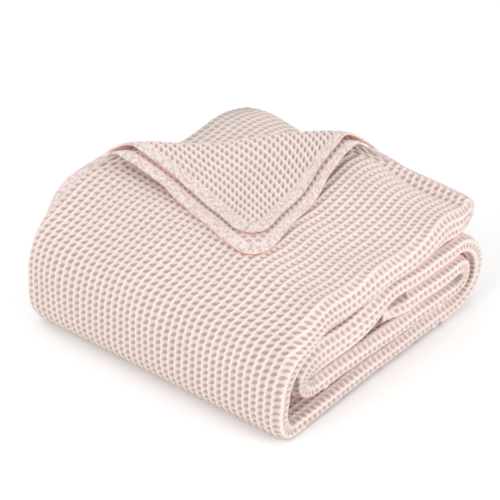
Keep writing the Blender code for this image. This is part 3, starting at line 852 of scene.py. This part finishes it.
def cotton(name):
    """The blanket's cloth, coloured by its own UV map."""
    material = bpy.data.materials.new(name)
    material.use_nodes = True
    web = Web(material.node_tree)
    place_on_cloth = web.add("ShaderNodeUVMap", {"uv_map": "cloth"})
    across, length = web.split(place_on_cloth)[:2]
    cell_x = ((across - HEM) / CELL_WIDE).fraction() - 0.5
    cell_y = ((length - HEM) / CELL_LONG).fraction() - 0.5
    rib_long, rib_cross = (q.size().rise(*RIB_FOOT) for q in (cell_x, cell_y))
    lean_x, tall_y = (cell_x + cell_y * PIT_LEAN) / PIT_WIDE, cell_y / PIT_TALL
    pit = 1.0 - (lean_x * lean_x + tall_y * tall_y).rise(*PIT_RIM)
    # painted shade of the pits and channels, which also sets the depth of the bump pits
    pit_shade_and_depth = (1.0 - rib_long) * CHANNEL_SHADE + pit * (1.0 - CHANNEL_SHADE)
    short_x = (CORNER_ROUND - across.least(FLAT_WIDTH - across)).most(0.0)
    short_y = (CORNER_ROUND - length.least(FLAT_LENGTH - length)).most(0.0)
    from_edge = CORNER_ROUND - (short_x * short_x + short_y * short_y).root()
    weave = from_edge.rise(HEM - 1.6 * MM, HEM - 0.4 * MM)

    drift, speck, lumps = (
        web.add("ShaderNodeTexNoise", {"noise_dimensions": "2D"},
                {"Vector": place_on_cloth, "Scale": scale, "Detail": detail})
        for scale, detail in ((14.0, 3.0), (900.0, 2.0), (260.0, 1.0)))
    # painted shade, more of it on the bends, with random specks of tone
    painted_pit_shade = pit_shade_and_depth * (0.76 + 0.35 * speck) * (1.05 + 0.15 * web.stored("open"))
    field = web.blend(painted_pit_shade, RIB_COLOUR, PAINTED_PIT_SHADE)
    rows = (from_edge * (2 * math.pi / HEM_ROW)).sine() * 0.18 + lumps.rise(0.42, 0.66)
    hem = web.blend(rows, HEM_COLOUR, HEM_SHADE)
    nook = web.stored("nook")
    # painted shade: a warmer, darker colour where other cloth is near
    whole = web.blend(nook.rise(NOOK_FROM, 1.15), web.blend(weave, hem, field), PAINTED_NOOK_SHADE)
    shade = 0.90 + 0.06 * drift + 0.04 * speck
    tint = web.add("ShaderNodeCombineXYZ", None, {0: shade, 1: shade, 2: shade})
    colour = web.add("ShaderNodeVectorMath", {"operation": "MULTIPLY"}, {0: whole, 1: tint})

    threads = ((across * (2 * math.pi / THREAD)).sine() * (0.35 + rib_cross)
               + (length * (2 * math.pi / THREAD)).sine() * (0.35 + rib_long)) * THREAD_HEIGHT
    twill = ((across + length) * (2 * math.pi / (1.3 * THREAD))).sine() * THREAD_HEIGHT
    pits = (1.0 - web.stored("modelled")) * pit_shade_and_depth * -PIT_BUMP
    height = (weave * (threads + pits) + (1.0 - weave) * (twill - rows * (0.35 * MM))
              + speck * (0.10 * MM))
    bump = web.add("ShaderNodeBump", None, {"Strength": 1.0, "Distance": 1.0, "Height": height})
    # painted light: a faint warm emission in the nooks, though the cloth is no lamp
    painted_glow = web.blend(nook.rise(NOOK_FROM, 1.0), (0.0, 0.0, 0.0, 1.0), PAINTED_NOOK_GLOW)
    cloth = web.add("ShaderNodeBsdfPrincipled", None, {
        "Base Color": colour, "Normal": bump, "Roughness": 0.86, "Specular IOR Level": 0.22,
        "Emission Color": painted_glow, "Emission Strength": 0.07,
        "Sheen Weight": 0.35, "Sheen Roughness": 0.55, "Sheen Tint": (1.0, 0.93, 0.90, 1.0)})
    web.add("ShaderNodeOutputMaterial", None, {"Surface": cloth})
    print("material %s: %d nodes" % (name, len(material.node_tree.nodes)))
    return material


BLUSH = cotton("blush_cotton")

# %% [markdown]
# ## The waffle relief
#
# The pits repeat by a rule, so a geometry tree makes them: each point of the cloth
# knows which cell it is in, and moves along the outward direction by half the
# cloth's thickness plus the height of the weave there. The ribs that run along the
# cloth stand a little higher than those across it, as the longer floats do.

# %% Tree for the weave
SIZES = (("Rib height", "NodeSocketFloat"), ("Pit depth", "NodeSocketFloat"),
         ("Cross rib share", "NodeSocketFloat"), ("Extra depth on bends", "NodeSocketFloat"),
         ("Cotton", "NodeSocketMaterial"))
web, given = geometry_tree("waffle_relief", SIZES)
x, y, shown = web.split(web.named("cells", "FLOAT_VECTOR"))
RIB_TOP, FLOOR_RIM = RIB_SHARE / 2 + 0.01, 0.5 - FLOOR_SHARE / 2 - 0.01
rib_long, rib_cross = (1.0 - q.off_middle().rise(RIB_TOP, FLOOR_RIM) for q in (x, y))
ribs = 1.0 - (1.0 - rib_long) * (1.0 - rib_cross * given["Cross rib share"])
depth = given["Pit depth"] + web.named("open") * given["Extra depth on bends"]
relief = ribs * (given["Rib height"] + depth) - depth
lift = web.named("half") + shown * relief
shift = web.add("ShaderNodeVectorMath", {"operation": "SCALE"},
                {0: web.named("outward", "FLOAT_VECTOR"), "Scale": lift})
moved = web.add("GeometryNodeSetPosition", None, {"Geometry": given["Geometry"], "Offset": shift})
marked = web.add("GeometryNodeStoreNamedAttribute", {"data_type": "FLOAT", "domain": "POINT"},
                 {"Geometry": moved, "Name": "modelled", "Value": shown})
soft = web.add("GeometryNodeSetShadeSmooth", None, {"Geometry": marked})
real = web.add("GeometryNodeRealizeInstances", None, {"Geometry": soft})
dressed = web.add("GeometryNodeSetMaterial", None, {"Geometry": real, "Material": given["Cotton"]})
web.add("NodeGroupOutput", None, {"Geometry": dressed})
apply_tree(blanket, web.tree, {"Rib height": 0.9 * MM, "Pit depth": 1.65 * MM,
                               "Cross rib share": 0.6, "Extra depth on bends": 0.2 * MM,
                               "Cotton": BLUSH})
for name in ("cells", "outward", "half"):
    blanket.data.attributes.remove(blanket.data.attributes[name])

# %% [markdown]
# ## Nooks
#
# Light that reaches the bottom of a narrow gap has passed through the cotton or come
# off it several times, so a gap in real blush cloth turns a warm orange-pink instead
# of grey. Every point looks outwards along a few rays: the nearer the cloth that it
# meets, the more of a nook it is in. By that number the cotton mixes a painted warm
# shade into its colour and gives off a faint painted light of its own.

# %% Look out from every point
NOOK_REACH = 40.0 * MM           # cloth further off than this doesn't count
NOOK_TILT = 0.9                  # sideways share of the slanting rays
RAYS = ((0.0, 0.0), (1.0, 0.0), (-0.5, 0.87), (-0.5, -0.87))
RAY_START = 1.6 * MM             # above the cloth's even surface, clear of its own ribs
tree = BVHTree.FromPolygons([q.co for q in blanket.data.vertices],
                            [q.vertices for q in blanket.data.polygons])
helper = np.where(np.abs(normal[:, 2:3]) < 0.8, (0.0, 0.0, 1.0), (1.0, 0.0, 0.0))
first = np.cross(normal, helper)
first /= np.linalg.norm(first, axis=1)[:, None]
second = np.cross(normal, first)
origin = middle + normal * (half + RAY_START)[:, None]
nook = np.zeros(len(origin))
for a, b in RAYS:
    way = normal + NOOK_TILT * (a * first + b * second)
    way /= np.linalg.norm(way, axis=1)[:, None]
    for k, (start, ray) in enumerate(zip(origin.tolist(), way.tolist())):
        found = tree.ray_cast(start, ray, NOOK_REACH)[3]
        if found is not None:
            nook[k] += (1.0 - found / NOOK_REACH) / len(RAYS)
layer = blanket.data.attributes.new("nook", "FLOAT", "POINT")
layer.data.foreach_set("value", nook.astype(np.float32))
print("points in a nook: %d of %d" % ((nook > 0.5).sum(), len(nook)))

# %% [markdown]
# ## The hem stitches
#
# A row of lockstitch holds the twice-turned hem all round, on both faces of the
# cloth. Stitches repeat along a path, so they are one small bead, drawn out to the
# length of a stitch and instanced on a string of points. Each point carries the
# direction of the seam.

# %% Points of the seam
SEAM_IN = 10.9 * MM              # from the rim of the cloth to the seam
STITCH_PITCH = 3.9 * MM
STITCH_LIFT = 1.25 * MM          # from the middle of the cloth to a stitch


def seam_path():
    """Flat places of the stitches, with the direction of the seam at each."""
    w, l, r = FLAT_WIDTH - 2 * SEAM_IN, FLAT_LENGTH - 2 * SEAM_IN, CORNER_ROUND - SEAM_IN
    rows = []
    for corner, run, far in (((0, 0), (1, 0), w), ((w, 0), (0, 1), l),
                             ((w, l), (-1, 0), w), ((0, l), (0, -1), l)):
        run, turned = np.array(run, float), np.array((-run[1], run[0]), float)
        count = int((far - 2 * r) / STITCH_PITCH)
        bend = int(math.pi / 2 * r / STITCH_PITCH)
        s = r + (far - 2 * r) * (np.arange(count) + 0.5) / count
        angle = math.pi / 2 * (np.arange(bend) + 0.5) / bend
        straight = np.outer(s, run)
        centre = (far - r) * run + r * turned
        arc = centre + r * (np.outer(np.sin(angle), run) - np.outer(np.cos(angle), turned))
        heading = np.outer(np.cos(angle), run) + np.outer(np.sin(angle), turned)
        rows.append(np.hstack((SEAM_IN + np.array(corner) + straight, np.tile(run, (count, 1)))))
        rows.append(np.hstack((SEAM_IN + np.array(corner) + arc, heading)))
    return np.concatenate(rows)


seam = seam_path()
seam_v, seam_u = wander(seam[:, 0], seam[:, 1])
step_v, step_u = seam[:, 2] * MM, seam[:, 3] * MM
seam_run = place(seam_u + step_u, seam_v + step_v) - place(seam_u - step_u, seam_v - step_v)
seam_run /= np.linalg.norm(seam_run, axis=1)[:, None]
seam_at, seam_lift = place(seam_u, seam_v), outward(seam_v, seam_u) * STITCH_LIFT
points = np.concatenate((seam_at + seam_lift, seam_at - seam_lift))
seam_mesh = bpy.data.meshes.new("hem_stitches")
seam_mesh.from_pydata(points.tolist(), [], [])
layer = seam_mesh.attributes.new("run", "FLOAT_VECTOR", "POINT")
layer.data.foreach_set("vector", np.concatenate((seam_run, seam_run)).astype(np.float32).ravel())
stitches = bpy.data.objects.new("hem_stitches", seam_mesh)
bpy.context.scene.collection.objects.link(stitches)
print("stitches:", len(points))

# %% Thread
def thread(name):
    """Sewing thread, a little stronger in colour than the cloth."""
    material = bpy.data.materials.new(name)
    material.use_nodes = True
    web = Web(material.node_tree)
    spot = web.add("ShaderNodeTexCoord", None, None, out=3)
    fuzz = web.add("ShaderNodeTexNoise", None, {"Vector": spot, "Scale": 700.0, "Detail": 2.0})
    colour = web.blend(fuzz, (0.86, 0.70, 0.65, 1.0), (0.95, 0.82, 0.78, 1.0))
    bump = web.add("ShaderNodeBump", None, {"Strength": 0.6, "Distance": 1.0,
                                            "Height": fuzz * (0.12 * MM)})
    cloth = web.add("ShaderNodeBsdfPrincipled", None, {
        "Base Color": colour, "Normal": bump, "Roughness": 0.7, "Specular IOR Level": 0.3,
        "Sheen Weight": 0.3})
    web.add("ShaderNodeOutputMaterial", None, {"Surface": cloth})
    return material


THREAD_FINISH = thread("blush_thread")

# %% Tree for the stitches
web, given = geometry_tree("hem_stitching", (
    ("Stitch length", "NodeSocketFloat"), ("Thread width", "NodeSocketFloat"),
    ("Thread", "NodeSocketMaterial")))
bead = web.add("GeometryNodeMeshUVSphere", None, {"Segments": 6, "Rings": 4, "Radius": 0.5})
width = given["Thread width"]
size = web.add("ShaderNodeCombineXYZ", None, {0: width, 1: width, 2: given["Stitch length"]})
turned = web.add("FunctionNodeAlignRotationToVector", {"axis": "Z"},
                 {"Vector": web.named("run", "FLOAT_VECTOR")})
sown = web.add("GeometryNodeInstanceOnPoints", None, {
    "Points": given["Geometry"], "Instance": bead, "Rotation": turned, "Scale": size})
real = web.add("GeometryNodeRealizeInstances", None, {"Geometry": sown})
soft = web.add("GeometryNodeSetShadeSmooth", None, {"Geometry": real})
dressed = web.add("GeometryNodeSetMaterial", None, {"Geometry": soft, "Material": given["Thread"]})
web.add("NodeGroupOutput", None, {"Geometry": dressed})
apply_tree(stitches, web.tree, {"Stitch length": 3.3 * MM, "Thread width": 0.75 * MM,
                                "Thread": THREAD_FINISH})

# %% [markdown]
# ## Hand the pieces to the frame
#
# The blanket is one sheet that rides on the only body and stands for its CAD solid.
# The stitches go with it.

# %% Ride and replace
for piece in (blanket, stitches):
    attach(piece, "root")
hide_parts("blanket")
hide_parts("blanket")

# %% [markdown]
# ## Floor, light and camera
#
# A plain pale floor runs past the view on all sides. A broad soft light from the
# right does most of the work, a weaker one fills the front, faint ones come from
# above and from behind, and the sky is even. The camera looks down by thirty degrees
# through a long lens.

# %% Floor
FLOOR_REACH = 12.0
floor_mesh = bpy.data.meshes.new("floor")
floor_mesh.from_pydata([(FLOOR_REACH * x, FLOOR_REACH * y, 0.0)
                        for x, y in ((-1, -1), (1, -1), (1, 1), (-1, 1))], [], [(0, 1, 2, 3)])
floor = bpy.data.objects.new("floor", floor_mesh)
bpy.context.scene.collection.objects.link(floor)
pale = bpy.data.materials.new("pale_floor")
pale.use_nodes = True
web = Web(pale.node_tree)
surface = web.add("ShaderNodeBsdfPrincipled", None, {
    "Base Color": (0.95, 0.95, 0.95, 1.0), "Roughness": 0.9, "Specular IOR Level": 0.1})
web.add("ShaderNodeOutputMaterial", None, {"Surface": surface})
floor_mesh.materials.append(pale)

# %% Light
LOOK_AT = Vector((-10.3, 1.2, 67.0)) * MM
AZIMUTH, ELEVATION, DISTANCE = 40.5, 30.25, 1.535      # degrees, degrees, metres
LIGHTS = (
    # name    right of the camera  elevation  distance  size   power
    ("key",           64.0,          16.0,      2.6,    1.6,   30.0),
    ("top",           20.0,          80.0,      2.6,    1.8,    4.0),
    ("front",        -38.0,          34.0,      2.6,    1.2,   21.5),
    ("back",        -120.0,          40.0,      2.6,    1.8,    9.0),
)


def from_camera(turn, rise):
    """Direction away from the object, turned to the right of the camera, in degrees."""
    a, e = math.radians(AZIMUTH + turn), math.radians(rise)
    return Vector((math.sin(a) * math.cos(e), -math.cos(a) * math.cos(e), math.sin(e)))


def soft_light(name, turn, rise, distance, size, power):
    """A round area light that points at the middle of the view."""
    data = bpy.data.lights.new(name, "AREA")
    data.shape, data.size, data.energy = "DISK", size, power
    light = bpy.data.objects.new(name, data)
    back = from_camera(turn, rise)
    light.location = LOOK_AT + back * distance
    light.rotation_euler = back.to_track_quat("Z", "Y").to_euler()
    bpy.context.scene.collection.objects.link(light)


for row in LIGHTS:
    soft_light(*row)
world = bpy.data.worlds.new("even_sky")
world.use_nodes = True
web = Web(world.node_tree)
sky = web.add("ShaderNodeBackground", None, {"Color": (1.0, 1.0, 1.0, 1.0), "Strength": 0.8})
web.add("ShaderNodeOutputWorld", None, {"Surface": sky})
scene = bpy.context.scene
scene.world = world
scene.view_settings.view_transform = "Standard"

# %% Camera
camera_data = bpy.data.cameras.new("camera")
camera_data.lens, camera_data.sensor_width = 115.2, 36.0
camera_data.clip_start, camera_data.clip_end = 0.05, 60.0
camera = bpy.data.objects.new("camera", camera_data)
back = from_camera(0.0, ELEVATION)
camera.location = LOOK_AT + back * DISTANCE
camera.rotation_euler = back.to_track_quat("Z", "Y").to_euler()
scene.collection.objects.link(camera)
scene.camera = camera

# %% [markdown]
# ## Finish

# %% Finish
bpy.context.view_layer.update()
